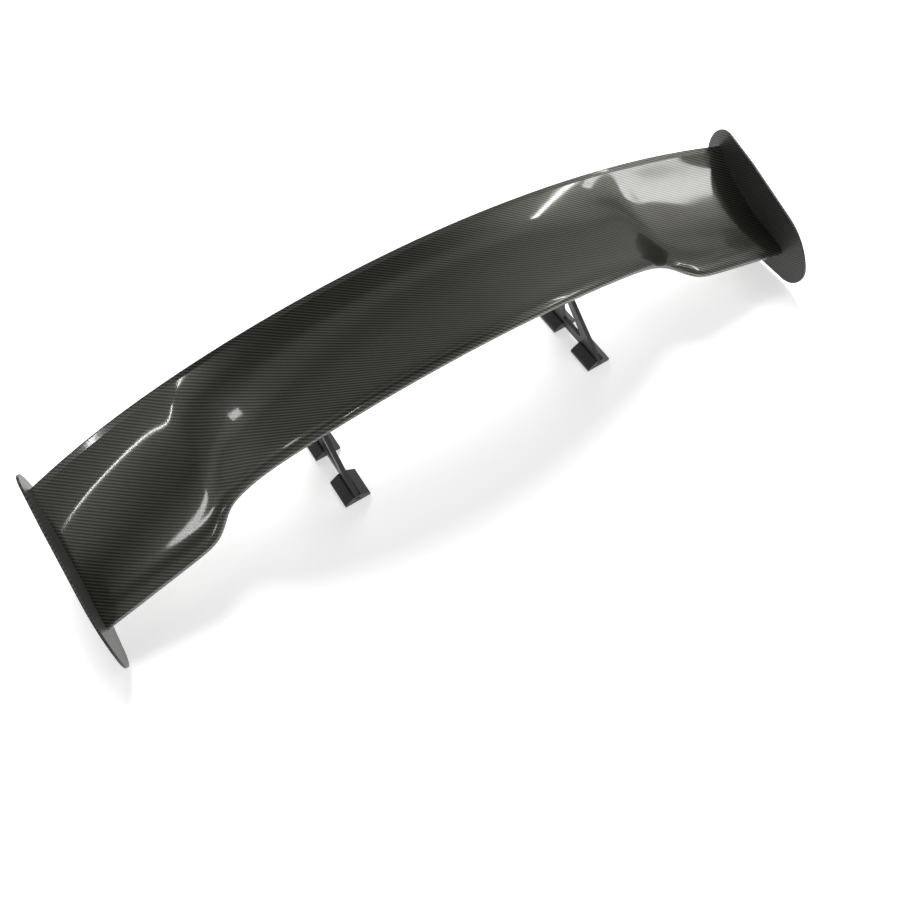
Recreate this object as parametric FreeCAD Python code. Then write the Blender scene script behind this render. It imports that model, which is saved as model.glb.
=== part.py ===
import FreeCAD, Part
import math
import os

os.makedirs("parts", exist_ok=True)

# Racing rear wing: a one-piece carbon blade with two end plates, carried by two
# plate stands on four saddle feet. Millimetres. X runs along the span (left end is
# -X), Y runs rearward, Z is up. The origin is on the deck, mid-span, midway between
# the front and the rear feet.

# ---- blade ----
HALF_SPAN = 695.0          # centre line to the face an end plate sits on
SKIN = 1.2                 # carbon skin thickness
BOND = 0.2                 # adhesive film between the skins and what they enclose
RIB_WIDTH = 12.0           # aluminium rib closing each end of the blade
# leading edge: raised centre, lowered and moved forward towards the ends
LE_TOP = 174.2
LE_ARCH = 225.0            # drop of the raised centre per squared span fraction
LE_TIP_HEIGHT = 44.0       # at the start of the end section
LE_TIP_FALL = 137.0        # further drop per span fraction
LE_BACK = -78.0
LE_SWEEP = 60.0
LE_TIP_BACK = -98.5
LE_TIP_SWEEP = 58.5
DROP_AT, DROP_REACH = 0.62, 0.062     # span fraction where the nose drops, and over what
STEP_AT, STEP_REACH = 0.67, 0.033     # the same for its step forward
TIP_START = 0.72
# trailing edge
TE_BACK = 170.2
TE_BOW = 61.1
TE_BOW_POWER = 4.1
TE_HEIGHT = 151.0
TE_ARCH = 19.85
TE_FALL = 24.06
# section in fractions of the chord, from nose to trailing edge
UPPER = [(0.006, 0.016), (0.022, 0.028), (0.058, 0.034), (0.11, 0.029), (0.183, 0.010),
         (0.29, -0.0165), (0.41, -0.036), (0.53, -0.0445), (0.66, -0.046),
         (0.78, -0.039), (0.88, -0.022), (0.958, -0.004)]
LOWER = [(0.008, -0.022), (0.03, -0.043), (0.08, -0.067), (0.16, -0.087), (0.28, -0.103),
         (0.42, -0.108), (0.58, -0.103), (0.74, -0.082), (0.88, -0.048), (1.0, -0.0098)]
SECTION_POINTS = 14        # points that carry each skin curve
HALF_STATIONS = 32         # sections from mid-span to one end

# ---- end plates ----
PLATE_THICKNESS = 4.0
PLATE_HOLE_SPACING = 153.0
PLATE_CORNERS = [(-135.0, -2.0), (102.0, -99.0), (234.0, -8.0), (237.0, 54.0),
                 (140.0, 67.0), (-41.0, 77.0)]
PLATE_RADII = [39.0, 100.0, 63.0, 32.0, 125.0, 144.0]
PLATE_FRONT_HOLE = 0.143   # chord fraction of the front end-plate screw

# ---- stands ----
STAND_SPACING = 520.0
STAND_THICKNESS = 8.0
STAND_LENGTH = 172.0       # straight base edge
STAND_LEAD = 3.0           # base edge ahead of the middle of the feet
STAND_CORNERS = [(0.0, 0.0), (STAND_LENGTH, 0.0), (174.0, 17.0), (256.0, 135.0),
                 (248.0, 162.0), (147.0, 136.0), (148.5, 109.5)]
STAND_RADII = [4.0, 3.0, 10.0, 4.0, 5.0, 4.0, 5.0]
WINDOW_LOW = [(60.0, 18.0), (121.0, 18.0), (147.5, 94.0)]
WINDOW_HIGH = [(155.0, 41.0), (182.0, 97.0), (222.0, 125.0), (172.0, 53.0)]
WINDOW_RADIUS = 4.0
WINDOW_HIGH_RADII = [4.0, 12.0, 4.0, 14.0]
TOP_SLOT_START = (183.0, 130.5)
TOP_SLOT_END = (213.0, 138.0)
TOP_SLOT_WIDTH = 12.0
PIVOT = (155.0, 128.0)     # pivot hole in stand coordinates
ADJUSTER_RADIUS = 82.3     # pivot to the middle of the adjuster slot
ADJUSTER_ANGLE = 9.1       # rise of that radius, degrees
ADJUSTER_SWING = 6.2       # slot half travel, degrees
BOLT_DIAMETER = 6.0
SLOT_CLEARANCE = 0.3       # radial, bolt in a slot
PIVOT_CLEARANCE = 0.08     # radial, lug on the pivot bolt
HOLE_CLEARANCE = 0.25      # radial, bolt through a drilled hole
TAP_CLEARANCE = 0.01       # radial, thread in its tapped hole
SIDE_GAP = 0.1             # between faces that turn past each other

# ---- eyelets under the blade ----
EYELET_LENGTH = 46.0
EYELET_WIDTH = 20.0
EYELET_BASE = 4.0
LUG_HEIGHT = 29.0          # seat face to the middle of the cross hole
LUG_THICKNESS = 8.0
LUG_RADIUS = 8.5
EYELET_SCREW_PITCH = 32.0
SEAT_CHORD = 0.43          # chord fraction over the front seat
LAND_THICKNESS = 4.0       # moulded land between the seat and the lower skin
LAND_SINK = 5.0            # how far a land runs on into the lower skin
LAND_MARGIN = 2.0
INSERT_RADIUS = 6.0
INSERT_HEIGHT = 8.0

# ---- saddle feet ----
FOOT_LENGTH = 55.0
FOOT_WIDTH = 49.0
FOOT_HEIGHT = 18.0
FOOT_EDGE = 6.0            # height of the outer edges
FOOT_CREST = 16.0          # width of the flat top the groove is cut in
FOOT_FLOOR = 9.0           # sole to the bottom of the groove
GROOVE_CLEARANCE = 0.15    # each side of the stand
FOOT_PITCH = 107.0         # front foot to rear foot
FOOT_SLOT_LENGTH = 22.0
DECK_BOLT_DEPTH = 13.0     # tapped depth in the base edge of a stand

# ---- fasteners ----
BOLT_HEAD = (10.0, 6.0, 5.0, 3.0)       # diameter, height, hexagon, hexagon depth
BOLT_LENGTH = 30.0
WASHER = (12.0, 1.6)
NUT = (10.0, 5.0, 4.4, 1.4)             # hexagon, height, collar radius, collar height
SCREW_DIAMETER = 5.0
SCREW_HEAD = (9.5, 2.75, 3.0, 1.6)
SCREW_LENGTH = 10.0
PLATE_SCREW_LENGTH = 16.0
PLATE_WASHER = (10.0, 1.0)


def vec(x, y, z):
    return FreeCAD.Vector(x, y, z)


def blend(middle, reach, value):
    """Smooth step from 0 to 1."""
    return 0.5 * (1.0 + math.tanh((value - middle) / reach))


def mix(a, b, share):
    return a * (1.0 - share) + b * share


def leading_edge(x):
    s = abs(x) / HALF_SPAN
    outboard = s - TIP_START
    back = mix(LE_BACK + LE_SWEEP * s * s, LE_TIP_BACK - LE_TIP_SWEEP * outboard,
               blend(STEP_AT, STEP_REACH, s))
    height = mix(LE_TOP - LE_ARCH * s * s, LE_TIP_HEIGHT - LE_TIP_FALL * outboard,
                 blend(DROP_AT, DROP_REACH, s))
    return back, height


def trailing_edge(x):
    s = abs(x) / HALF_SPAN
    back = TE_BACK - TE_BOW * s ** TE_BOW_POWER
    height = TE_HEIGHT + TE_ARCH * math.cos(math.pi * s) - TE_FALL * s * s
    return back, height


def unit_spline():
    """Section curve in chord fractions: crease of the upper side, nose, lower side."""
    row = UPPER[::-1] + [(0.0, 0.0)] + LOWER
    curve = Part.BSplineCurve()
    curve.interpolate([vec(0, 1000.0 * a, 1000.0 * b) for a, b in row])
    return curve, curve.parameter(vec(0, 0, 0))


PROFILE, NOSE = unit_spline()


def profile_frames(side):
    """Points and inward normals of one side of the section, nose first."""
    end = PROFILE.FirstParameter if side == "upper" else PROFILE.LastParameter
    frames = []
    for i in range(SECTION_POINTS):
        share = i / (SECTION_POINTS - 1.0)
        u = mix(NOSE, end, share)
        p = PROFILE.value(u)
        t = PROFILE.tangent(u)[0]
        frames.append((p.y / 1000.0, p.z / 1000.0, -t.z, t.y))
    return frames


FRAMES = {"upper": profile_frames("upper"), "lower": profile_frames("lower")}


def section_base(x):
    y0, z0 = leading_edge(x)
    y1, z1 = trailing_edge(x)
    return y0, z0, y1 - y0, z1 - z0


def at_chord(x, along, up, offset=(0.0, 0.0)):
    """Point of the section at span x; the offset is in millimetres, chord axes."""
    y0, z0, dy, dz = section_base(x)
    chord = math.hypot(dy, dz)
    c, s = dy / chord, dz / chord
    a = along * chord + offset[0]
    b = up * chord + offset[1]
    return vec(x, y0 + a * c - b * s, z0 + a * s + b * c)


def inward(side, frame):
    """Unit normal of a section frame pointing into the section."""
    ny, nz = frame[2], frame[3]
    size = math.hypot(ny, nz)
    return ny / size, nz / size


def outer_points(x, side):
    return [at_chord(x, f[0], f[1]) for f in FRAMES[side]]


def inner_points(x, side, film=0.0):
    """Skin underside from the nose to the crease, or a film of bond below it."""
    depth = SKIN + film
    points = []
    for f in FRAMES[side]:
        ny, nz = inward(side, f)
        short = film if f is FRAMES[side][-1] else 0.0
        points.append(at_chord(x, f[0], f[1], (depth * ny - short, depth * nz)))
    return points


def spline_edge(points):
    curve = Part.BSplineCurve()
    curve.interpolate(points)
    return curve.toShape()


def line_edge(a, b):
    return Part.makeLine(a, b)


CREASE = UPPER[-1]


def lower_under_crease():
    """Frames of the lower side that stop below the crease of the upper side."""
    hit = None
    for i in range(400):
        u = mix(NOSE, PROFILE.LastParameter, 0.6 + 0.4 * i / 399.0)
        p = PROFILE.value(u)
        if hit is None and p.y / 1000.0 >= CREASE[0]:
            hit = u
    frames = []
    for i in range(SECTION_POINTS):
        share = i / (SECTION_POINTS - 1.0)
        u = mix(NOSE, hit, share)
        p = PROFILE.value(u)
        t = PROFILE.tangent(u)[0]
        frames.append((p.y / 1000.0, p.z / 1000.0, -t.z, t.y))
    return frames


FRAMES["lower_short"] = lower_under_crease()


def joint_points(x):
    """Bond line behind the core: below the crease, and at the trailing edge."""
    top = FRAMES["upper"][-1]
    low = FRAMES["lower_short"][-1]
    front = at_chord(x, CREASE[0], 0.5 * (top[1] + low[1]))
    back = at_chord(x, 1.0, 0.5 * LOWER[-1][1])
    return front, back


def outer_wire(x):
    up = outer_points(x, "upper")
    low = outer_points(x, "lower")
    tip = at_chord(x, 1.0, 0.0)
    edges = [spline_edge(up), line_edge(up[-1], tip), line_edge(tip, low[-1]),
             spline_edge(low)]
    return Part.Wire(Part.__sortEdges__(edges))


def core_wire(x):
    up = inner_points(x, "upper", BOND)
    low = inner_points(x, "lower_short", BOND)
    low[0] = up[0]
    edges = [spline_edge(up), line_edge(up[-1], low[-1]), spline_edge(low)]
    return Part.Wire(Part.__sortEdges__(edges))


def upper_wire(x):
    out = outer_points(x, "upper")
    inn = inner_points(x, "upper")
    tip = at_chord(x, 1.0, 0.0)
    front, back = joint_points(x)
    edges = [spline_edge(out), line_edge(out[-1], tip), line_edge(tip, back),
             line_edge(back, front), line_edge(front, inn[-1]), spline_edge(inn),
             line_edge(inn[0], out[0])]
    return Part.Wire(Part.__sortEdges__(edges))


def lower_wire(x):
    out = outer_points(x, "lower")
    inn = inner_points(x, "lower_short")
    inn[0] = inner_points(x, "upper")[0]
    front, back = joint_points(x)
    edges = [spline_edge(out), line_edge(out[-1], back), line_edge(back, front),
             line_edge(front, inn[-1]), spline_edge(inn), line_edge(inn[0], out[0])]
    return Part.Wire(Part.__sortEdges__(edges))


def span_loft(wire_at):
    step = HALF_SPAN / HALF_STATIONS
    wires = [wire_at(step * k) for k in range(-HALF_STATIONS, HALF_STATIONS + 1)]
    return Part.makeLoft(wires, True, False, False, 5)


def rounded_outline(points, radii):
    """Closed wire in the YZ plane with every corner turned by an arc."""
    edges = []
    ends = []
    n = len(points)
    for i in range(n):
        b = vec(0, points[i][0], points[i][1])
        a = vec(0, points[i - 1][0], points[i - 1][1])
        c = vec(0, points[(i + 1) % n][0], points[(i + 1) % n][1])
        e1 = (a - b).normalize()
        e2 = (c - b).normalize()
        half = e1.getAngle(e2) / 2.0
        reach = radii[i] / math.tan(half)
        middle = (e1 + e2).normalize()
        centre = b + middle * (radii[i] / math.sin(half))
        start = b + e1 * reach
        stop = b + e2 * reach
        edges.append(Part.Arc(start, centre - middle * radii[i], stop).toShape())
        ends.append((start, stop))
    for i in range(n):
        stop = ends[i][1]
        start = ends[(i + 1) % n][0]
        if stop.distanceToPoint(start) > 1e-6:
            edges.append(line_edge(stop, start))
    return Part.Wire(Part.__sortEdges__(edges))


def prism(wire, x0, thickness):
    face = Part.Face(wire)
    face.translate(vec(x0, 0, 0))
    return face.extrude(vec(thickness, 0, 0))


def cylinder(radius, length, start, direction):
    return Part.makeCylinder(radius, length, start, direction)


def obround(length, width, height):
    """Obround prism standing on the XY plane, long along Y."""
    r = width / 2.0
    h = length / 2.0 - r
    bar = Part.makeBox(width, 2.0 * h, height, vec(-r, -h, 0))
    front = cylinder(r, height, vec(0, -h, 0), vec(0, 0, 1))
    rear = cylinder(r, height, vec(0, h, 0), vec(0, 0, 1))
    return bar.fuse([front, rear]).removeSplitter()


def hexagon(across, height, start, direction):
    r = across / math.sqrt(3.0)
    points = [vec(r * math.cos(math.pi * k / 3), r * math.sin(math.pi * k / 3), 0)
              for k in range(7)]
    solid = Part.Face(Part.makePolygon(points)).extrude(vec(0, 0, height))
    turn = FreeCAD.Rotation(vec(0, 0, 1), direction)
    solid.Placement = FreeCAD.Placement(start, turn)
    return solid


def cap_screw(diameter, length, head, seat, direction):
    """Socket screw: seat is the underside of the head, direction runs to the point."""
    back = direction * -1.0
    shank = cylinder(diameter / 2.0, length, seat, direction)
    top = cylinder(head[0] / 2.0, head[1], seat, back)
    rim = [e for e in top.Edges if abs(e.CenterOfMass.sub(seat).Length - head[1]) < 1e-6]
    top = top.makeFillet(0.6, rim)
    socket = hexagon(head[2], head[3], seat + back * (head[1] - head[3]), back)
    return shank.fuse(top).cut(socket)


def washer(size, bore, seat, direction):
    ring = cylinder(size[0] / 2.0, size[1], seat, direction)
    return ring.cut(cylinder(bore, size[1], seat, direction))


def lock_nut(bore, seat, direction):
    body = hexagon(NUT[0], NUT[1], seat, direction)
    collar = cylinder(NUT[2], NUT[3], seat + direction * NUT[1], direction)
    return body.fuse(collar).cut(cylinder(bore, NUT[1] + NUT[3], seat, direction))


def export(name, shape):
    shape.exportStep(os.path.join("parts", name + ".step"))


def group(shapes):
    return Part.makeCompound(shapes)


# ---- placement of the stand in the frame ----
STAND_FRONT = -STAND_LENGTH / 2.0 - STAND_LEAD
SIDES = {"left": -1.0, "right": 1.0}
PIVOT_Y = STAND_FRONT + PIVOT[0]
PIVOT_Z = FOOT_FLOOR + PIVOT[1]
TILT = math.radians(ADJUSTER_ANGLE)
SLOT_Y = PIVOT_Y + ADJUSTER_RADIUS * math.cos(TILT)
SLOT_Z = PIVOT_Z + ADJUSTER_RADIUS * math.sin(TILT)
SEAT_NORMAL = vec(0, -math.sin(TILT), math.cos(TILT))
LUG_OFFSET = STAND_THICKNESS / 2.0 + WASHER[1] + SIDE_GAP + LUG_THICKNESS / 2.0
AXLE_POINTS = {"front": (PIVOT_Y, PIVOT_Z), "rear": (SLOT_Y, SLOT_Z)}


def stand_x(side):
    return SIDES[side] * STAND_SPACING / 2.0


def lug_x(side):
    return stand_x(side) - SIDES[side] * LUG_OFFSET


def seat_point(side, place):
    y, z = AXLE_POINTS[place]
    return vec(lug_x(side), y, z) + SEAT_NORMAL * LUG_HEIGHT


def seat_placement(side, place):
    turn = FreeCAD.Rotation(vec(1, 0, 0), ADJUSTER_ANGLE)
    return FreeCAD.Placement(seat_point(side, place), turn)


def blade_shift():
    """Moves the blade so that its lower skin lies over the front seats."""
    x = lug_x("right")
    under = None
    for i in range(600):
        p = PROFILE.value(mix(NOSE, PROFILE.LastParameter, i / 599.0))
        if under is None and p.y / 1000.0 >= SEAT_CHORD:
            under = p
    low = at_chord(x, under.y / 1000.0, under.z / 1000.0)
    seat = seat_point("right", "front") + SEAT_NORMAL * LAND_THICKNESS
    return vec(0, seat.y - low.y, seat.z - low.z)


def stand(side):
    wire = rounded_outline(STAND_CORNERS, STAND_RADII)
    plate = prism(wire, -STAND_THICKNESS / 2.0, STAND_THICKNESS)
    through = STAND_THICKNESS + 2.0
    x0 = -through / 2.0
    cuts = [prism(rounded_outline(WINDOW_LOW, [WINDOW_RADIUS] * 3), x0, through),
            prism(rounded_outline(WINDOW_HIGH, WINDOW_HIGH_RADII), x0, through)]
    hole = BOLT_DIAMETER / 2.0 + HOLE_CLEARANCE
    cuts.append(cylinder(hole, through, vec(x0, PIVOT[0], PIVOT[1]), vec(1, 0, 0)))
    cuts.append(straight_slot(TOP_SLOT_START, TOP_SLOT_END, TOP_SLOT_WIDTH, x0, through))
    cuts.append(arc_slot(x0, through))
    for u in (-STAND_FRONT - FOOT_PITCH / 2.0, -STAND_FRONT + FOOT_PITCH / 2.0):
        cuts.append(cylinder(BOLT_DIAMETER / 2.0 + TAP_CLEARANCE, DECK_BOLT_DEPTH,
                             vec(0, u, 0), vec(0, 0, 1)))
    plate = plate.cut(cuts)
    plate.translate(vec(stand_x(side), STAND_FRONT, FOOT_FLOOR))
    return plate


def straight_slot(start, end, width, x0, thickness):
    a = vec(0, start[0], start[1])
    b = vec(0, end[0], end[1])
    along = (b - a).normalize()
    side = vec(0, -along.z, along.y) * (width / 2.0)
    nose_a = a - along * (width / 2.0)
    nose_b = b + along * (width / 2.0)
    edges = [line_edge(a + side, b + side), Part.Arc(b + side, nose_b, b - side).toShape(),
             line_edge(b - side, a - side), Part.Arc(a - side, nose_a, a + side).toShape()]
    return prism(Part.Wire(edges), x0, thickness)


def arc_slot(x0, thickness):
    """Adjuster slot: an arc about the pivot hole."""
    r = BOLT_DIAMETER / 2.0 + SLOT_CLEARANCE
    centre = vec(0, PIVOT[0], PIVOT[1])

    def polar(radius, degrees):
        a = math.radians(degrees)
        return centre + vec(0, radius * math.cos(a), radius * math.sin(a))

    low = ADJUSTER_ANGLE - ADJUSTER_SWING
    high = ADJUSTER_ANGLE + ADJUSTER_SWING
    inner = ADJUSTER_RADIUS - r
    outer = ADJUSTER_RADIUS + r
    over = math.degrees(r / ADJUSTER_RADIUS)
    edges = [Part.Arc(polar(outer, low), polar(outer, ADJUSTER_ANGLE),
                      polar(outer, high)).toShape(),
             Part.Arc(polar(outer, high), polar(ADJUSTER_RADIUS, high + over),
                      polar(inner, high)).toShape(),
             Part.Arc(polar(inner, high), polar(inner, ADJUSTER_ANGLE),
                      polar(inner, low)).toShape(),
             Part.Arc(polar(inner, low), polar(ADJUSTER_RADIUS, low - over),
                      polar(outer, low)).toShape()]
    return prism(Part.Wire(edges), x0, thickness)


def eyelet(side, place):
    base = obround(EYELET_LENGTH, EYELET_WIDTH, EYELET_BASE)
    base.translate(vec(0, 0, -EYELET_BASE))
    x0 = -LUG_THICKNESS / 2.0
    post = Part.makeBox(LUG_THICKNESS, 2.0 * LUG_RADIUS, LUG_HEIGHT - EYELET_BASE,
                        vec(x0, -LUG_RADIUS, -LUG_HEIGHT))
    nose = cylinder(LUG_RADIUS, LUG_THICKNESS, vec(x0, 0, -LUG_HEIGHT), vec(1, 0, 0))
    bore = BOLT_DIAMETER / 2.0 + (PIVOT_CLEARANCE if place == "front" else TAP_CLEARANCE)
    cuts = [cylinder(bore, LUG_THICKNESS, vec(x0, 0, -LUG_HEIGHT), vec(1, 0, 0))]
    for y in (-EYELET_SCREW_PITCH / 2.0, EYELET_SCREW_PITCH / 2.0):
        cuts.append(cylinder(SCREW_DIAMETER / 2.0 + HOLE_CLEARANCE, EYELET_BASE,
                             vec(0, y, -EYELET_BASE), vec(0, 0, 1)))
    solid = base.fuse([post, nose]).removeSplitter().cut(cuts)
    solid.Placement = seat_placement(side, place)
    return solid


def seated(shape, side, place):
    shape.Placement = seat_placement(side, place).multiply(shape.Placement)
    return shape


def land(side, place):
    pad = obround(EYELET_LENGTH + 2.0 * LAND_MARGIN, EYELET_WIDTH + 2.0 * LAND_MARGIN,
                  LAND_THICKNESS + LAND_SINK)
    return seated(pad, side, place)


def screw_axes():
    """Seat-plane points of the eight eyelet screws, with the seat normal."""
    along = vec(0, math.cos(TILT), math.sin(TILT))
    points = []
    for side in SIDES:
        for place in AXLE_POINTS:
            for y in (-EYELET_SCREW_PITCH / 2.0, EYELET_SCREW_PITCH / 2.0):
                points.append(seat_point(side, place) + along * y)
    return points


def foot(side, place):
    half = FOOT_WIDTH / 2.0
    crest = FOOT_CREST / 2.0
    groove = STAND_THICKNESS / 2.0 + GROOVE_CLEARANCE
    outline = [(-half, 0), (half, 0), (half, FOOT_EDGE), (crest, FOOT_HEIGHT),
               (groove, FOOT_HEIGHT), (groove, FOOT_FLOOR), (-groove, FOOT_FLOOR),
               (-groove, FOOT_HEIGHT), (-crest, FOOT_HEIGHT), (-half, FOOT_EDGE),
               (-half, 0)]
    face = Part.Face(Part.makePolygon([vec(a, -FOOT_LENGTH / 2.0, b) for a, b in outline]))
    solid = face.extrude(vec(0, FOOT_LENGTH, 0))
    slot = obround(FOOT_SLOT_LENGTH, BOLT_DIAMETER + 2.0 * SLOT_CLEARANCE, FOOT_FLOOR)
    solid = solid.cut(slot)
    y = FOOT_PITCH / 2.0 * (1.0 if place == "rear" else -1.0)
    solid.translate(vec(stand_x(side), y, 0))
    return solid


def axle_set(side, place):
    """Bolt, three washers and nut of one cross hole."""
    y, z = AXLE_POINTS[place]
    s = SIDES[side]
    inboard = vec(-s, 0, 0)
    fixed = place == "front"
    outer_face = stand_x(side) + s * STAND_THICKNESS / 2.0
    inner_face = stand_x(side) - s * STAND_THICKNESS / 2.0
    lug_near = lug_x(side) + s * LUG_THICKNESS / 2.0
    lug_far = lug_x(side) - s * LUG_THICKNESS / 2.0
    bore = BOLT_DIAMETER / 2.0 + HOLE_CLEARANCE
    under_head = outer_face + s * ((0.0 if fixed else SIDE_GAP) + WASHER[1])
    spacer = inner_face if fixed else lug_near + s * WASHER[1]
    under_nut = lug_far - s * (SIDE_GAP if fixed else 0.0)
    washers = [washer(WASHER, bore, vec(start, y, z), inboard)
               for start in (under_head, spacer, under_nut)]
    bolt = cap_screw(BOLT_DIAMETER, BOLT_LENGTH, BOLT_HEAD, vec(under_head, y, z), inboard)
    seat = vec(under_nut - s * WASHER[1], y, z)
    nut = lock_nut(BOLT_DIAMETER / 2.0 + TAP_CLEARANCE, seat, inboard)
    return bolt, washers, nut


def end_screw_points(side):
    """Centres of the two end-plate holes on one end face of the blade."""
    x = SIDES[side] * HALF_SPAN
    y0, z0, dy, dz = section_base(x)
    chord = math.hypot(dy, dz)
    rear = PLATE_FRONT_HOLE + PLATE_HOLE_SPACING / chord
    return [at_chord(x, t, camber_at(t)) for t in (PLATE_FRONT_HOLE, rear)]


def camber_at(t):
    """Middle of the section at a chord fraction."""
    heights = []
    for end in (PROFILE.FirstParameter, PROFILE.LastParameter):
        near = None
        for i in range(400):
            p = PROFILE.value(mix(NOSE, end, i / 399.0))
            if near is None and p.y / 1000.0 >= t:
                near = p.z / 1000.0
        heights.append(near)
    return 0.5 * (heights[0] + heights[1])


def end_plate(side, holes):
    wire = rounded_outline(PLATE_CORNERS, PLATE_RADII)
    plate = prism(wire, 0.0, PLATE_THICKNESS * SIDES[side])
    for u in (0.0, holes[0].distanceToPoint(holes[1])):
        plate = plate.cut(cylinder(SCREW_DIAMETER / 2.0 + HOLE_CLEARANCE,
                                   PLATE_THICKNESS, vec(0, u, 0), vec(SIDES[side], 0, 0)))
    run = holes[1] - holes[0]
    angle = math.degrees(math.atan2(run.z, run.y))
    plate.Placement = FreeCAD.Placement(holes[0], FreeCAD.Rotation(vec(1, 0, 0), angle))
    return plate


def build_blade():
    shift = blade_shift()
    outer = span_loft(outer_wire)
    inner = span_loft(core_wire)
    upper = span_loft(upper_wire)
    lower = span_loft(lower_wire)
    for shape in (outer, inner, upper, lower):
        shape.translate(shift)
    pads = [land(side, place).cut(outer) for side in SIDES for place in AXLE_POINTS]
    bores = [cylinder(INSERT_RADIUS, INSERT_HEIGHT, p, SEAT_NORMAL)
             for p in screw_axes()]
    lower = lower.fuse(pads).cut(bores)
    size = 2000.0
    long_box = Part.makeBox(2.0 * (HALF_SPAN - RIB_WIDTH), size, size,
                            vec(RIB_WIDTH - HALF_SPAN, -size / 2.0, -size / 2.0))
    core = inner.common(long_box).cut(bores)
    export("blade_upper_skin", upper)
    export("blade_lower_skin", lower)
    export("blade_core", core)
    thread = SCREW_DIAMETER / 2.0 + TAP_CLEARANCE
    inserts = [cylinder(INSERT_RADIUS, INSERT_HEIGHT, p, SEAT_NORMAL).cut(
        cylinder(thread, INSERT_HEIGHT, p, SEAT_NORMAL)) for p in screw_axes()]
    export("hardpoint_inserts", group(inserts))
    for side in SIDES:
        s = SIDES[side]
        holes = [p + shift for p in end_screw_points(side)]
        start = min(s * HALF_SPAN, s * (HALF_SPAN - RIB_WIDTH))
        slab = Part.makeBox(RIB_WIDTH, size, size, vec(start, -size / 2.0, -size / 2.0))
        rib = inner.common(slab)
        for p in holes:
            rib = rib.cut(cylinder(thread, RIB_WIDTH, p, vec(-s, 0, 0)))
        export("end_rib_" + side, rib)
        export("endplate_" + side, end_plate(side, holes))
    return shift


def build_end_fasteners(shift):
    screws = []
    washers = []
    for side in SIDES:
        s = SIDES[side]
        for p in end_screw_points(side):
            face = p + shift + vec(s * PLATE_THICKNESS, 0, 0)
            washers.append(washer(PLATE_WASHER, SCREW_DIAMETER / 2.0 + HOLE_CLEARANCE,
                                  face, vec(s, 0, 0)))
            seat = face + vec(s * PLATE_WASHER[1], 0, 0)
            screws.append(cap_screw(SCREW_DIAMETER, PLATE_SCREW_LENGTH, SCREW_HEAD, seat,
                                    vec(-s, 0, 0)))
    export("endplate_screws", group(screws))
    export("endplate_washers", group(washers))


def build_mounting():
    for side in SIDES:
        export("stand_" + side, stand(side))
        for place in AXLE_POINTS:
            export("eyelet_" + place + "_" + side, eyelet(side, place))
            export("foot_" + place + "_" + side, foot(side, place))
    screws = [cap_screw(SCREW_DIAMETER, SCREW_LENGTH, SCREW_HEAD,
                        p - SEAT_NORMAL * EYELET_BASE, SEAT_NORMAL) for p in screw_axes()]
    export("eyelet_screws", group(screws))
    for place, name in (("front", "pivot"), ("rear", "clamp")):
        sets = [axle_set(side, place) for side in SIDES]
        export(name + "_bolts", group([bolt for bolt, rings, nut in sets]))
        export(name + "_washers", group([ring for bolt, rings, nut in sets
                                         for ring in rings]))
        export(name + "_nuts", group([nut for bolt, rings, nut in sets]))


SHIFT = build_blade()
build_end_fasteners(SHIFT)
build_mounting()
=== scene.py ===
import math

import bmesh
import bpy
import numpy as np
from mathutils import Matrix, Vector


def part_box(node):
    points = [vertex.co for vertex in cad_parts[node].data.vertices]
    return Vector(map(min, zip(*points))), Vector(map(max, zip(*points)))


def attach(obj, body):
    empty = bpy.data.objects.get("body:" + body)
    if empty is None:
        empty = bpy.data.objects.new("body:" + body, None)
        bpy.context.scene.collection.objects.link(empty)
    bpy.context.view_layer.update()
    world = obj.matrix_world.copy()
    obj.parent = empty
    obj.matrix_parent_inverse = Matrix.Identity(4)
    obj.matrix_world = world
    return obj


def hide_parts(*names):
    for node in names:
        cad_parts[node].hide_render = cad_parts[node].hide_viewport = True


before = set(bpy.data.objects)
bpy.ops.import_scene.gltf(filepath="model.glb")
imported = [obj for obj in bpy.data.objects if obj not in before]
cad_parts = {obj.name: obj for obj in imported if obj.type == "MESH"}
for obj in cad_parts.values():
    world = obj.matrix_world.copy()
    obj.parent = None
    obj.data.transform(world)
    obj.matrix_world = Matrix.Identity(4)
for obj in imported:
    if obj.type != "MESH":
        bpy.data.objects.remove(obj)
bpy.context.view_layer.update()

# ---------------------------------------------------------------- blade shape, metres
HALF_SPAN = 0.695
UPPER = [(0.006, 0.016), (0.022, 0.028), (0.058, 0.034), (0.11, 0.029), (0.183, 0.010),
         (0.29, -0.0165), (0.41, -0.036), (0.53, -0.0445), (0.66, -0.046),
         (0.78, -0.039), (0.88, -0.022), (0.958, -0.004)]
LOWER = [(0.008, -0.022), (0.03, -0.043), (0.08, -0.067), (0.16, -0.087), (0.28, -0.103),
         (0.42, -0.108), (0.58, -0.103), (0.74, -0.082), (0.88, -0.048), (1.0, -0.0098)]
STATIONS = 360              # sections along the span
UPPER_COLUMNS = 84          # points over each section
LOWER_COLUMNS = 56
BAND_COLUMNS = 6            # flat strip at the trailing edge
STEP_PLACE, STEP_REACH = 0.67, 0.033        # where the leading edge steps forward
DROP_PLACE, DROP_REACH = 0.62, 0.062        # and where it drops to the end section
TIP_START = 0.72
LE_BACK, LE_SWEEP = -0.078, 0.060
LE_TOP, LE_ARCH = 0.1742, 0.225
LE_TIP_BACK, LE_TIP_SWEEP = -0.0985, 0.0585
LE_TIP_HEIGHT, LE_TIP_FALL = 0.044, 0.137
TE_BACK, TE_BOW, TE_BOW_POWER = 0.1702, 0.0611, 4.1
TE_HEIGHT, TE_ARCH, TE_FALL = 0.151, 0.01985, 0.02406
TE_TOP = TE_HEIGHT + TE_ARCH


def add_object(name, data):
    thing = bpy.data.objects.new(name, data)
    bpy.context.scene.collection.objects.link(thing)
    return thing


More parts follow.
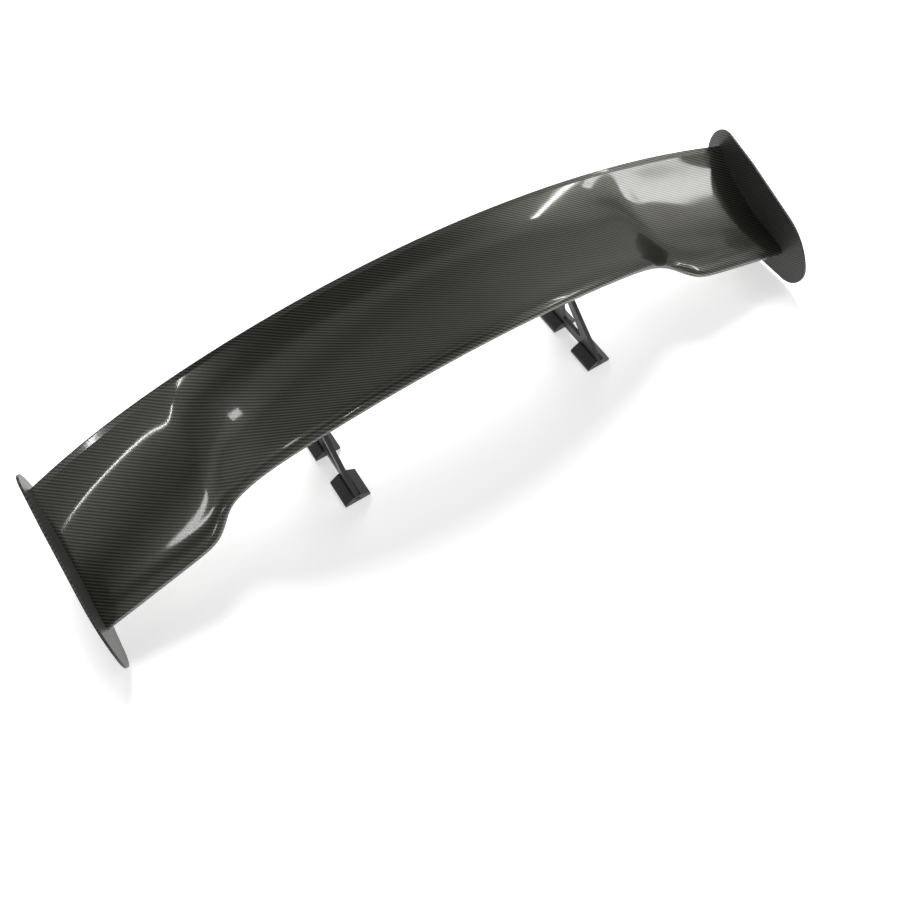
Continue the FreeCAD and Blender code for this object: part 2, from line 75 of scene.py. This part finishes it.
def smooth_step(middle, reach, value):
    return 0.5 * (1.0 + np.tanh((value - middle) / reach))


def leading_edge(s):
    """Place of the edge at a span fraction: raised middle, lower end sections."""
    out = s - TIP_START
    step = smooth_step(STEP_PLACE, STEP_REACH, s)
    drop = smooth_step(DROP_PLACE, DROP_REACH, s)
    y = (LE_BACK + LE_SWEEP * s * s) * (1 - step) \
        + (LE_TIP_BACK - LE_TIP_SWEEP * out) * step
    z = (LE_TOP - LE_ARCH * s * s) * (1 - drop) \
        + (LE_TIP_HEIGHT - LE_TIP_FALL * out) * drop
    return y, z


def trailing_edge(s):
    y = TE_BACK - TE_BOW * s ** TE_BOW_POWER
    z = TE_HEIGHT + TE_ARCH * np.cos(np.pi * s) - TE_FALL * s * s
    return y, z


def natural_spline(points):
    """Cubic spline through points, spaced by chord length, as a function of that."""
    p = np.array(points, float)
    knots = np.r_[0.0, np.cumsum(np.hypot(*np.diff(p, axis=0).T))]
    h = np.diff(knots)
    n = len(p)
    a = np.zeros((n, n))
    b = np.zeros((n, 2))
    a[0, 0] = a[-1, -1] = 1.0
    for i in range(1, n - 1):
        a[i, i - 1:i + 2] = h[i - 1], 2 * (h[i - 1] + h[i]), h[i]
        b[i] = 6 * ((p[i + 1] - p[i]) / h[i] - (p[i] - p[i - 1]) / h[i - 1])
    m = np.linalg.solve(a, b)

    def value(t):
        i = np.clip(np.searchsorted(knots, t) - 1, 0, n - 2)
        u = knots[i + 1] - t
        w = t - knots[i]
        g = h[i]
        return ((m[i].T * u ** 3 + m[i + 1].T * w ** 3) / (6 * g)
                + (p[i].T / g - m[i].T * g / 6) * u
                + (p[i + 1].T / g - m[i + 1].T * g / 6) * w).T

    return value, knots


def section_columns():
    """Chord-fraction points of the whole section, upper trailing edge to lower."""
    row = UPPER[::-1] + [(0.0, 0.0)] + LOWER
    value, knots = natural_spline(row)
    nose = knots[len(UPPER)]
    fine = 1 - np.cos(np.linspace(0, np.pi / 2, UPPER_COLUMNS))
    upper = value(nose - fine * nose)[::-1]
    fine = 1 - np.cos(np.linspace(0, np.pi / 2, LOWER_COLUMNS))
    lower = value(nose + fine[1:] * (knots[-1] - nose))
    band = np.linspace((1.0, 0.0), UPPER[-1], BAND_COLUMNS + 1)[:-1]
    return np.vstack([band, upper, lower, [(1.0, 0.0)]]), len(band)


def blade_grid():
    """Points of the whole blade, one row to a station, and the crease's column."""
    columns, crease = section_columns()
    s = np.linspace(-1, 1, STATIONS + 1)
    y0, z0 = leading_edge(abs(s))
    y1, z1 = trailing_edge(abs(s))
    along = np.stack([y1 - y0, z1 - z0], 1)[:, None, :]
    across = np.stack([-(z1 - z0), y1 - y0], 1)[:, None, :]
    yz = np.stack([y0, z0], 1)[:, None, :] + along * columns[None, :, :1] \
        + across * columns[None, :, 1:]
    x = np.broadcast_to((s * HALF_SPAN)[:, None, None], yz.shape[:2] + (1,))
    return np.concatenate([x, yz], 2), crease


def fabric_coordinates(grid, crease):
    """Span position, and distance over the skin from the straight line y = 0."""
    steps = np.linalg.norm(np.diff(grid, axis=1)[..., 1:], axis=2)
    run = np.concatenate([np.zeros((len(grid), 1)), np.cumsum(steps, 1)], 1)
    uv = np.empty(grid.shape[:2] + (2,))
    for i, row in enumerate(grid):
        top = row[:UPPER_COLUMNS + crease, 1][::-1]
        zero = np.interp(0.0, top, run[i, :UPPER_COLUMNS + crease][::-1])
        uv[i, :, 0] = row[:, 0]
        uv[i, :, 1] = zero - run[i]
    return uv


def grid_mesh(name, grid, uv, sharp_columns):
    """Closed tube of quads along the rows, last column on the first, with flat ends."""
    rows, cols = grid.shape[:2]
    ring = cols - 1
    flat = np.arange(rows * cols).reshape(rows, cols)
    corners = np.stack([flat[:-1, :-1], flat[:-1, 1:], flat[1:, 1:], flat[1:, :-1]], -1)
    corners = corners.reshape(-1, 4)
    merged = (corners // cols) * ring + (corners % cols) % ring
    near = np.arange(ring)[::-1]
    far = np.arange(ring) + (rows - 1) * ring
    faces = merged.tolist() + [near.tolist(), far.tolist()]
    mesh = bpy.data.meshes.new(name)
    mesh.from_pydata(grid[:, :-1].reshape(-1, 3).tolist(), [], faces)
    flat_uv = uv.reshape(-1, 2)
    end_uv = np.concatenate([uv[0, :-1][::-1], uv[-1, :-1]])
    layer = mesh.uv_layers.new(name="fabric")
    layer.data.foreach_set("uv", np.concatenate(
        [flat_uv[corners.ravel()], end_uv]).astype(np.float32).ravel())
    mesh.shade_smooth()
    sharp = mesh.attributes.new("sharp_edge", "BOOLEAN", "EDGE")
    ends = np.empty(len(mesh.edges) * 2, int)
    mesh.edges.foreach_get("vertices", ends)
    ends = ends.reshape(-1, 2)
    column = ends % ring
    row = ends // ring
    creased = (column[:, 0] == column[:, 1]) & np.isin(column[:, 0], sharp_columns)
    at_end = (row[:, 0] == row[:, 1]) & np.isin(row[:, 0], [0, rows - 1])
    sharp.data.foreach_set("value", creased | at_end)
    return add_object(name, mesh)


def build_blade(material):
    grid, crease = blade_grid()
    uv = fabric_coordinates(grid, crease)
    low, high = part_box("blade_upper_skin")
    top = grid[:, :UPPER_COLUMNS + crease].reshape(-1, 3).max(0)
    grid[..., 1] += high.y - top[1]
    grid[..., 2] += high.z - top[2]
    shell = grid_mesh("blade_shell", grid, uv, [crease])
    shell.data.materials.append(material)
    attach(shell, "blade")
    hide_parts("blade_upper_skin", "blade_lower_skin")


# ---------------------------------------------------------------- moulded lands
LAND_LENGTH = 0.050
LAND_WIDTH = 0.024
LAND_EASE = 0.0008
LAND_RISE = 0.0085          # from the eyelet's seat to well inside the skin
SEAT_TILT = math.radians(9.1)
EYELET_HALF_BASE = 0.023
EYELET_BASE_THICK = 0.004


def obround(length, width, count=24):
    """Outline of a bar with round ends, long way along the second axis."""
    r = width / 2
    half = length / 2 - r
    out = []
    for end in (1, -1):
        for k in range(count + 1):
            a = math.pi * k / count + (0 if end > 0 else math.pi)
            out.append((r * math.cos(a), end * half + r * math.sin(a)))
    return out


def build_land(place, side, material):
    """Pad of the lower skin that an eyelet is screwed to."""
    low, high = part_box("eyelet_%s_%s" % (place, side))
    tilt_c, tilt_s = math.cos(SEAT_TILT), math.sin(SEAT_TILT)
    seat = Vector(((low.x + high.x) / 2,
                   high.y - EYELET_HALF_BASE * tilt_c - EYELET_BASE_THICK * tilt_s,
                   high.z - EYELET_HALF_BASE * tilt_s))
    along = Vector((0.0, tilt_c, tilt_s))
    up = Vector((0.0, -tilt_s, tilt_c))
    levels = ((LAND_EASE, 0.0), (LAND_EASE * 0.3, LAND_EASE * 0.3),
              (0.0, LAND_EASE), (0.0, LAND_RISE))
    verts = []
    for shrink, rise in levels:
        for x, y in obround(LAND_LENGTH - 2 * shrink, LAND_WIDTH - 2 * shrink):
            verts.append(seat + Vector((x, 0.0, 0.0)) + along * y + up * rise)
    ring = len(verts) // len(levels)
    faces = [list(range(ring))[::-1], list(range(len(verts) - ring, len(verts)))]
    for level in range(len(levels) - 1):
        for k in range(ring):
            a = level * ring + k
            b = level * ring + (k + 1) % ring
            faces.append([a, b, b + ring, a + ring])
    name = "land_%s_%s" % (place, side)
    mesh = bpy.data.meshes.new(name)
    mesh.from_pydata(verts, [], faces)
    layer = mesh.uv_layers.new(name="fabric")
    for loop in mesh.loops:
        where = mesh.vertices[loop.vertex_index].co
        layer.data[loop.index].uv = (where.x, where.y)
    mesh.shade_smooth()
    mesh.materials.append(material)
    thing = add_object(name, mesh)
    normals = thing.modifiers.new("weighted", "WEIGHTED_NORMAL")
    normals.keep_sharp = True
    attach(thing, "blade")


# ---------------------------------------------------------------- edge-softened copies
WELD = 2e-6
FLAT_ANGLE = math.radians(0.4)      # faces flatter than this to each other are merged
EDGE_ANGLE = math.radians(35)       # edges sharper than this are eased
SMOOTH_ANGLE = math.radians(40)


def softened(node, width, body, material):
    """A copy of a CAD node with its corners eased, shown in its place."""
    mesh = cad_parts[node].data.copy()
    mesh.materials.clear()
    work = bmesh.new()
    work.from_mesh(mesh)
    bmesh.ops.remove_doubles(work, verts=work.verts, dist=WELD)
    bmesh.ops.dissolve_limit(work, angle_limit=FLAT_ANGLE, verts=work.verts,
                             edges=work.edges)
    edges = [e for e in work.edges
             if len(e.link_faces) == 2 and e.calc_face_angle() > EDGE_ANGLE]
    bmesh.ops.bevel(work, geom=edges, offset=width, segments=2, profile=0.5,
                    affect="EDGES", clamp_overlap=True)
    for face in work.faces:
        face.smooth = True
    for edge in work.edges:
        edge.smooth = len(edge.link_faces) == 2 \
            and edge.calc_face_angle() < SMOOTH_ANGLE
    work.to_mesh(mesh)
    work.free()
    mesh.name = node + "_eased"
    thing = add_object(node + "_eased", mesh)
    mesh.materials.append(material)
    normals = thing.modifiers.new("weighted", "WEIGHTED_NORMAL")
    normals.keep_sharp = True
    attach(thing, body)
    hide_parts(node)


# ---------------------------------------------------------------- materials
class Nodes:
    """Short names for building a node material."""

    def __init__(self, name):
        self.material = bpy.data.materials.new(name)
        self.material.use_nodes = True
        self.tree = self.material.node_tree
        self.shader = self.tree.nodes["Principled BSDF"]

    def link(self, source, target):
        if isinstance(source, (int, float)):
            target.default_value = source
        else:
            self.tree.links.new(source, target)

    def math(self, operation, a, b=0.0):
        node = self.tree.nodes.new("ShaderNodeMath")
        node.operation = operation
        self.link(a, node.inputs[0])
        self.link(b, node.inputs[1])
        return node.outputs[0]

    def split(self, vector):
        node = self.tree.nodes.new("ShaderNodeSeparateXYZ")
        self.tree.links.new(vector, node.inputs[0])
        return node.outputs

    def position(self, kind="Object"):
        return self.tree.nodes.new("ShaderNodeTexCoord").outputs[kind]

    def noise(self, vector, scale, detail=3.0, rough=0.5):
        node = self.tree.nodes.new("ShaderNodeTexNoise")
        self.tree.links.new(vector, node.inputs["Vector"])
        node.inputs["Scale"].default_value = scale
        node.inputs["Detail"].default_value = detail
        node.inputs["Roughness"].default_value = rough
        return node.outputs["Fac"]

    def scaled(self, vector, factors):
        node = self.tree.nodes.new("ShaderNodeMapping")
        self.tree.links.new(vector, node.inputs["Vector"])
        node.inputs["Scale"].default_value = factors
        return node.outputs[0]

    def colour(self, factor, low, high):
        node = self.tree.nodes.new("ShaderNodeMix")
        node.data_type = "RGBA"
        self.link(factor, node.inputs[0])
        node.inputs[6].default_value = (*low, 1.0)
        node.inputs[7].default_value = (*high, 1.0)
        return node.outputs[2]

    def spread(self, value, low, high):
        """value from 0..1 to low..high"""
        return self.math("ADD", self.math("MULTIPLY", value, high - low), low)

    def bump(self, height, distance, strength=1.0):
        node = self.tree.nodes.new("ShaderNodeBump")
        node.inputs["Strength"].default_value = strength
        node.inputs["Distance"].default_value = distance
        self.tree.links.new(height, node.inputs["Height"])
        self.tree.links.new(node.outputs[0], self.shader.inputs["Normal"])

    def set(self, **values):
        for key, value in values.items():
            self.shader.inputs[key.replace("_", " ")].default_value = value


TOW = 0.00177               # width of one carbon tow


def twill(n, u, v, tow):
    """Twill 2x2 from two distances: which tow is on top, and the tow relief."""
    u = n.math("DIVIDE", u, tow)
    v = n.math("DIVIDE", v, tow)
    iu = n.math("FLOOR", u)
    iv = n.math("FLOOR", v)
    fu = n.math("SUBTRACT", u, iu)
    fv = n.math("SUBTRACT", v, iv)

    def wrap4(a):
        return n.math("SUBTRACT", a, n.math("MULTIPLY", n.math("FLOOR",
                      n.math("DIVIDE", a, 4.0)), 4.0))

    place = wrap4(n.math("ADD", iu, iv))
    over = n.math("LESS_THAN", place, 1.5)
    under = n.math("SUBTRACT", 1.0, over)

    def crown(f):
        centred = n.math("SUBTRACT", n.math("MULTIPLY", f, 2.0), 1.0)
        return n.math("SUBTRACT", 1.0, n.math("MULTIPLY", centred, centred))

    along_over = n.math("SINE", n.math("MULTIPLY", wrap4(n.math("ADD", v, iu)), math.pi / 2))
    along_under = n.math("SINE", n.math("MULTIPLY",
                         n.math("SUBTRACT", wrap4(n.math("ADD", u, iv)), 2.0), math.pi / 2))
    relief_over = n.math("MULTIPLY", crown(fu), along_over)
    relief_under = n.math("MULTIPLY", crown(fv), along_under)
    relief = n.math("ADD", n.math("MULTIPLY", relief_over, over),
                    n.math("MULTIPLY", relief_under, under))
    return over, n.math("MAXIMUM", relief, 0.0)


def carbon(name, plane, dark, light, coat, coat_rough, rough, turn, metallic):
    """Woven carbon under a clear coat, laid by the fabric map or in the side plane."""
    n = Nodes(name)
    if plane == "uv":
        node = n.tree.nodes.new("ShaderNodeUVMap")
        node.uv_map = "fabric"
        where = n.split(node.outputs[0])
        u, v = where[0], where[1]
    else:
        where = n.split(n.position())
        u, v = where[1], where[2]
    c, s = math.cos(turn), math.sin(turn)
    u, v = (n.math("ADD", n.math("MULTIPLY", u, c), n.math("MULTIPLY", v, s)),
            n.math("SUBTRACT", n.math("MULTIPLY", v, c), n.math("MULTIPLY", u, s)))
    over, relief = twill(n, u, v, TOW)
    fibre = n.noise(n.position(), 900.0, 2.0)
    # painted light: the tows lying one way get the lighter colour as a painted sheen, and the
    # tow crowns are coloured lighter than the dips between them as painted shade; the fibre
    # noise is the fabric's own grain
    tone = n.math("ADD", n.math("MULTIPLY", over, 0.62), n.math("MULTIPLY", relief, 0.28))
    tone = n.math("ADD", tone, n.math("MULTIPLY", fibre, 0.10))
    n.tree.links.new(n.colour(tone, dark, light), n.shader.inputs["Base Color"])
    cloud = n.noise(n.position(), 14.0, 3.0)
    n.tree.links.new(n.spread(cloud, rough * 0.9, rough * 1.15), n.shader.inputs["Roughness"])
    n.bump(relief, 0.00012, 0.6)
    n.set(Coat_Weight=coat, Coat_Roughness=coat_rough, Coat_IOR=1.5)
    n.set(Specular_IOR_Level=0.35, Metallic=metallic)
    return n.material


def anodised(name, colour, rough, speck):
    n = Nodes(name)
    grain = n.noise(n.position(), 2600.0, 2.0, 0.6)
    cloud = n.noise(n.position(), 22.0, 4.0, 0.55)
    tone = n.math("ADD", n.math("MULTIPLY", grain, 0.5), n.math("MULTIPLY", cloud, 0.5))
    low = tuple(c * (1 - speck) for c in colour)
    high = tuple(c * (1 + speck) for c in colour)
    n.tree.links.new(n.colour(tone, low, high), n.shader.inputs["Base Color"])
    n.tree.links.new(n.spread(cloud, rough * 0.85, rough * 1.15),
                     n.shader.inputs["Roughness"])
    n.bump(grain, 0.00002, 0.35)
    n.set(Metallic=0.35)
    return n.material


def steel(name):
    n = Nodes(name)
    rings = n.noise(n.scaled(n.position(), (1.0, 14.0, 14.0)), 420.0, 3.0)
    n.tree.links.new(n.colour(rings, (0.42, 0.42, 0.41), (0.66, 0.66, 0.64)),
                     n.shader.inputs["Base Color"])
    n.tree.links.new(n.spread(rings, 0.2, 0.36), n.shader.inputs["Roughness"])
    n.bump(rings, 0.00002, 0.3)
    n.set(Metallic=1.0)
    return n.material


def foam(name):
    n = Nodes(name)
    cells = n.noise(n.position(), 1800.0, 2.0)
    n.tree.links.new(n.colour(cells, (0.6, 0.54, 0.4), (0.78, 0.72, 0.56)),
                     n.shader.inputs["Base Color"])
    n.bump(cells, 0.0002, 0.5)
    n.set(Roughness=0.9)
    return n.material


def floor_material():
    n = Nodes("floor_white")
    cloud = n.noise(n.position(), 6.0, 2.0)
    n.tree.links.new(n.colour(cloud, (0.8, 0.8, 0.8), (0.82, 0.82, 0.82)),
                     n.shader.inputs["Base Color"])
    n.set(Roughness=0.8, Specular_IOR_Level=0.1, Emission_Strength=FLOOR_GLOW)
    n.shader.inputs["Emission Color"].default_value = (1.0, 1.0, 1.0, 1.0)
    side = n.tree.nodes.new("ShaderNodeNewGeometry")
    clear = n.tree.nodes.new("ShaderNodeBsdfTransparent")
    either = n.tree.nodes.new("ShaderNodeMixShader")
    n.tree.links.new(side.outputs["Backfacing"], either.inputs[0])
    n.tree.links.new(n.shader.outputs[0], either.inputs[1])
    n.tree.links.new(clear.outputs[0], either.inputs[2])
    n.tree.links.new(either.outputs[0], n.tree.nodes["Material Output"].inputs[0])
    return n.material


# ---------------------------------------------------------------- dressing the nodes
def paint(node, material):
    node.data.materials.clear()
    node.data.materials.append(material)


def dress():
    # in both carbons the step from the dark to the light colour is painted sheen and painted
    # shade of the weave
    gloss = carbon("carbon_gloss_twill", "uv", (0.02, 0.02, 0.018),
                   (0.2, 0.2, 0.168), 1.0, 0.07, 0.3, math.radians(8), 0.9)
    satin = carbon("carbon_satin_twill", "side", (0.02, 0.02, 0.02),
                   (0.1, 0.1, 0.09), 0.35, 0.25, 0.45, math.radians(20), 0.3)
    stand = anodised("stand_black", (0.085, 0.087, 0.084), 0.42, 0.25)
    foot = anodised("foot_black", (0.06, 0.06, 0.064), 0.45, 0.3)
    eyelet = anodised("eyelet_black", (0.008, 0.008, 0.008), 0.3, 0.3)
    bright = steel("fastener_steel")
    alloy = steel("rib_alloy")
    fill = foam("core_foam")
    build_blade(gloss)
    for side in ("left", "right"):
        softened("endplate_" + side, 0.0004, "blade", satin)
        softened("stand_" + side, 0.0005, "stands", stand)
        for place in ("front", "rear"):
            build_land(place, side, gloss)
            softened("eyelet_%s_%s" % (place, side), 0.0006, "blade", eyelet)
            softened("foot_%s_%s" % (place, side), 0.0005,
                     "foot_" + place[0] + side[0], foot)
        paint(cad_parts["end_rib_" + side], alloy)
    paint(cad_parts["blade_core"], fill)
    paint(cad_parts["hardpoint_inserts"], alloy)
    for name in ("endplate_screws", "endplate_washers", "eyelet_screws", "clamp_bolts",
                 "clamp_washers", "clamp_nuts", "pivot_bolts", "pivot_washers",
                 "pivot_nuts"):
        paint(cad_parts[name], bright)


# ---------------------------------------------------------------- studio
FLOOR_HALF = 14.0
FLOOR_DROP = 0.0005         # keeps the floor off the soles


def build_floor():
    size = FLOOR_HALF
    mesh = bpy.data.meshes.new("floor")
    mesh.from_pydata([(-size, -size, 0), (size, -size, 0), (size, size, 0),
                      (-size, size, 0)], [], [(0, 1, 2, 3)])
    floor = add_object("floor", mesh)
    floor.location.z = -FLOOR_DROP
    floor.data.materials.append(floor_material())


def towards(azimuth, elevation):
    az = math.radians(azimuth)
    el = math.radians(elevation)
    return Vector((math.sin(az) * math.cos(el), math.cos(az) * math.cos(el), math.sin(el)))


def softbox(name, azimuth, elevation, seen_from, size, radiance, roll=0.0):
    """Rectangle of light whose middle lies that way from a point of the wing."""
    way = towards(azimuth, elevation)
    lamp = bpy.data.lights.new(name, "AREA")
    lamp.shape = "RECTANGLE"
    lamp.size = size[0]
    lamp.size_y = size[1]
    lamp.energy = radiance * math.pi * size[0] * size[1]
    thing = add_object(name, lamp)
    thing.location = Vector(seen_from) + way * LIGHT_DISTANCE
    facing = (-way).to_track_quat("-Z", "Y").to_matrix()
    thing.rotation_euler = (facing @ Matrix.Rotation(math.radians(roll), 3, "Z")).to_euler()


def sun(name, azimuth, elevation, strength, spread):
    way = towards(azimuth, elevation)
    lamp = bpy.data.lights.new(name, "SUN")
    lamp.energy = strength
    lamp.angle = math.radians(spread)
    thing = add_object(name, lamp)
    thing.rotation_euler = (-way).to_track_quat("-Z", "Y").to_euler()
    thing.visible_glossy = False


FLOOR_GLOW = 0.55
LIGHT_DISTANCE = 3.0

# brightness of the studio ceiling and back wall against how far back they lie,
# as distance behind the wing over height above it
CEILING = [(-0.6, 0.3), (-0.1, 0.12), (0.1, 0.02), (0.34, 0.02), (0.46, 0.3),
           (0.6, 0.28), (0.71, 0.06), (0.8, 0.08), (1.0, 0.2), (1.9, 0.19)]
SIDE_WALLS = 0.17           # added towards both ends of the studio


def build_world():
    """Studio seen in the wing's coat: a ceiling in bands, paler side walls."""
    world = bpy.data.worlds.new("studio")
    world.use_nodes = True
    tree = world.node_tree
    way = tree.nodes.new("ShaderNodeTexCoord").outputs["Generated"]
    split = tree.nodes.new("ShaderNodeSeparateXYZ")
    tree.links.new(way, split.inputs[0])
    height = tree.nodes.new("ShaderNodeMath")
    height.operation = "MAXIMUM"
    tree.links.new(split.outputs[2], height.inputs[0])
    height.inputs[1].default_value = 0.05
    slope = tree.nodes.new("ShaderNodeMath")
    slope.operation = "DIVIDE"
    tree.links.new(split.outputs[1], slope.inputs[0])
    tree.links.new(height.outputs[0], slope.inputs[1])
    first, last = CEILING[0][0], CEILING[-1][0]
    place = tree.nodes.new("ShaderNodeMapRange")
    tree.links.new(slope.outputs[0], place.inputs["Value"])
    place.inputs["From Min"].default_value = first
    place.inputs["From Max"].default_value = last
    ramp = tree.nodes.new("ShaderNodeValToRGB")
    tree.links.new(place.outputs[0], ramp.inputs[0])
    stops = ramp.color_ramp.elements
    while len(stops) < len(CEILING):
        stops.new(1.0)
    for stop, (where, tone) in zip(stops, CEILING):
        stop.position = (where - first) / (last - first)
        stop.color = (tone, tone, tone, 1.0)
    span = tree.nodes.new("ShaderNodeMath")
    span.operation = "ABSOLUTE"
    tree.links.new(split.outputs[0], span.inputs[0])
    walls = tree.nodes.new("ShaderNodeMapRange")
    walls.interpolation_type = "SMOOTHSTEP"
    tree.links.new(span.outputs[0], walls.inputs["Value"])
    walls.inputs["From Min"].default_value = 0.3
    walls.inputs["From Max"].default_value = 0.65
    walls.inputs["To Max"].default_value = SIDE_WALLS
    both = tree.nodes.new("ShaderNodeVectorMath")
    tree.links.new(ramp.outputs[0], both.inputs[0])
    tree.links.new(walls.outputs[0], both.inputs[1])
    seen = tree.nodes.new("ShaderNodeLightPath")
    mix = tree.nodes.new("ShaderNodeMix")
    mix.data_type = "RGBA"
    tree.links.new(seen.outputs["Is Camera Ray"], mix.inputs[0])
    tree.links.new(both.outputs[0], mix.inputs[6])
    mix.inputs[7].default_value = (0.9, 0.9, 0.9, 1.0)
    tree.links.new(mix.outputs[2], tree.nodes["Background"].inputs[0])
    bpy.context.scene.world = world


def build_lights():
    build_world()
    sun("back_key", 20, 40, 4.0, 30)
    softbox("right_strip", 110, 47.7, (0.62, 0.08, 0.2), (1.35, 0.2), 10, -3)
    softbox("right_line", 76, 49, (0.5, 0.0, 0.2), (1.1, 0.05), 34, -3)
    softbox("left_box", -43, 55, (-0.43, -0.05, 0.16), (0.3, 0.16), 10, -20)
    softbox("top_strip", -155.8, 75.2, (-0.6, 0.1, 0.16), (0.6, 0.035), 40, 88)


# camera against the blade's middle, as solved from the outline of the parts
CAMERA_HEIGHT = 1.178
CAMERA_LEFT = 0.4405
CAMERA_AHEAD = 0.6804
TURN = math.radians(32.71)
PITCH = math.radians(61.19)
STEP_BACK = 0.045
LENS = 32.72
SENSOR = 36.0


def build_camera():
    low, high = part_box("blade_upper_skin")
    back = high.y - TE_BACK
    up = high.z - TE_TOP
    camera = bpy.data.cameras.new("camera")
    camera.lens = LENS
    camera.sensor_width = SENSOR
    thing = add_object("camera", camera)
    thing.location = (-CAMERA_LEFT, back - CAMERA_AHEAD, up + CAMERA_HEIGHT)
    thing.rotation_euler = (math.pi / 2 - PITCH, 0.0, -TURN)
    ahead = thing.rotation_euler.to_matrix() @ Vector((0.0, 0.0, -1.0))
    thing.location = thing.location - ahead * STEP_BACK
    camera.clip_end = 60.0
    bpy.context.scene.camera = thing


dress()
build_floor()
build_lights()
build_camera()
bpy.context.scene.view_settings.view_transform = "Standard"
